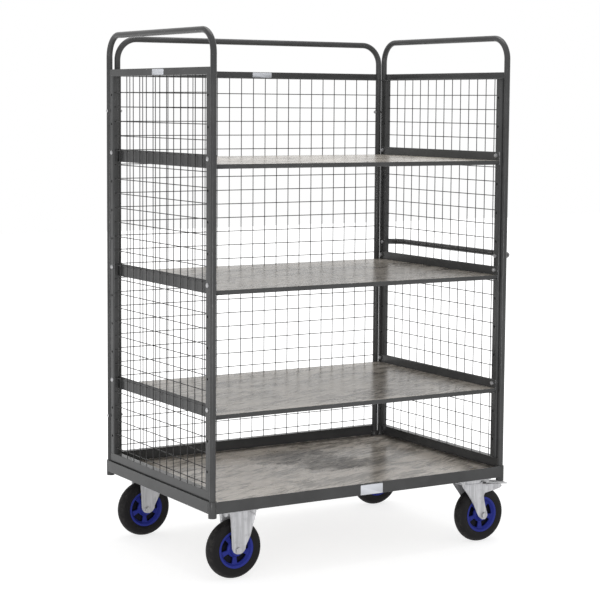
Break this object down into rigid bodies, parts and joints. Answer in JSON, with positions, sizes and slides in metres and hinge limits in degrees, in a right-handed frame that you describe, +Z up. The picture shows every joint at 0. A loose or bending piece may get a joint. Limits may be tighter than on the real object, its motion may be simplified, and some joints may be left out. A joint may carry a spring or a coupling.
{
  "type": "distribution trolley",
  "caption": "Wheeled trolley with an angle-iron chassis, mesh panels on both ends and the back, an open front, bolted wood-grain shelves and a push handle over the swivel castors.",
  "frame": {"origin": "on the floor, at the middle of the overall length and width", "axes": "+X along the length towards the push handle and swivel castors, +Y towards the back panel, +Z up"},
  "size_m": [1.2536, 0.8, 1.8106],
  "materials": {
    "frame_paint": "satin powder coat",
    "fork_zinc": "bright zinc plate",
    "fastener_zinc": "zinc plated",
    "board": "grey wood-grain laminate",
    "tyre": "matte elastic rubber",
    "wheel_blue": "moulded nylon",
    "bearing_nylon": "moulded nylon"
  },
  "bodies": {
    "trolley": {"chassis_long_rails": "frame_paint", "chassis_end_rails": "frame_paint", "corner_sockets": "frame_paint", "castor_pads": "frame_paint", "deck_bearers": "frame_paint", "left_hoop": "frame_paint", "left_uprights": "frame_paint", "left_panel_rails": "frame_paint", "left_mesh": "frame_paint", "right_hoop": "frame_paint", "right_uprights": "frame_paint", "right_panel_rails": "frame_paint", "right_mesh": "frame_paint", "back_hoop": "frame_paint", "back_panel_rails": "frame_paint", "back_mesh": "frame_paint", "lower_shelf_frame": "frame_paint", "middle_shelf_frame": "frame_paint", "upper_shelf_frame": "frame_paint", "push_handle": "frame_paint", "front_left_fork": "fork_zinc", "back_left_fork": "fork_zinc", "swivel_top_plates": "fork_zinc", "deck_screws": "fastener_zinc", "panel_bolts": "fastener_zinc", "panel_nuts": "fastener_zinc", "shelf_bolts": "fastener_zinc", "shelf_nuts": "fastener_zinc", "handle_inserts": "fastener_zinc", "handle_bolts": "fastener_zinc", "castor_studs": "fastener_zinc", "castor_nuts": "fastener_zinc", "fixed_axles": "fastener_zinc", "kingpins": "fastener_zinc", "swivel_balls": "fastener_zinc", "deck_board": "board", "lower_shelf_board": "board", "middle_shelf_board": "board", "upper_shelf_board": "board"},
    "front_left_wheel": {"front_left_wheel_centre": "wheel_blue", "front_left_tyre": "tyre", "front_left_wheel_bearing": "bearing_nylon"},
    "back_left_wheel": {"back_left_wheel_centre": "wheel_blue", "back_left_tyre": "tyre", "back_left_wheel_bearing": "bearing_nylon"},
    "front_right_wheel": {"front_right_wheel_centre": "wheel_blue", "front_right_tyre": "tyre", "front_right_wheel_bearing": "bearing_nylon"},
    "back_right_wheel": {"back_right_wheel_centre": "wheel_blue", "back_right_tyre": "tyre", "back_right_wheel_bearing": "bearing_nylon"},
    "front_right_swivel": {"front_right_fork": "fork_zinc", "front_right_axle": "fastener_zinc", "front_right_brake_pin": "fastener_zinc"},
    "front_right_pedal": {"front_right_brake_pedal": "fork_zinc"},
    "back_right_swivel": {"back_right_fork": "fork_zinc", "back_right_axle": "fastener_zinc", "back_right_brake_pin": "fastener_zinc"},
    "back_right_pedal": {"back_right_brake_pedal": "fork_zinc"}
  },
  "joints": [
    {"name": "front_left_wheel_spin", "type": "hinge", "parent": "trolley", "child": "front_left_wheel", "pos_m": [-0.50682, -0.335, 0.1], "axis": [0, 1, 0], "continuous": true},
    {"name": "back_left_wheel_spin", "type": "hinge", "parent": "trolley", "child": "back_left_wheel", "pos_m": [-0.50682, 0.335, 0.1], "axis": [0, 1, 0], "continuous": true},
    {"name": "front_right_swivel_turn", "type": "hinge", "parent": "trolley", "child": "front_right_swivel", "pos_m": [0.45317, -0.335, 0.22], "axis": [0, 0, 1], "continuous": true},
    {"name": "front_right_wheel_spin", "type": "hinge", "parent": "front_right_swivel", "child": "front_right_wheel", "pos_m": [0.50318, -0.335, 0.1], "axis": [0, 1, 0], "continuous": true},
    {"name": "front_right_pedal_press", "type": "hinge", "parent": "front_right_swivel", "child": "front_right_pedal", "pos_m": [0.51818, -0.335, 0.208], "axis": [0, 1, 0], "range_deg": [0, 12]},
    {"name": "back_right_swivel_turn", "type": "hinge", "parent": "trolley", "child": "back_right_swivel", "pos_m": [0.45317, 0.335, 0.22], "axis": [0, 0, 1], "continuous": true},
    {"name": "back_right_wheel_spin", "type": "hinge", "parent": "back_right_swivel", "child": "back_right_wheel", "pos_m": [0.50318, 0.335, 0.1], "axis": [0, 1, 0], "continuous": true},
    {"name": "back_right_pedal_press", "type": "hinge", "parent": "back_right_swivel", "child": "back_right_pedal", "pos_m": [0.51818, 0.335, 0.208], "axis": [0, 1, 0], "range_deg": [0, 12]}
  ]
}
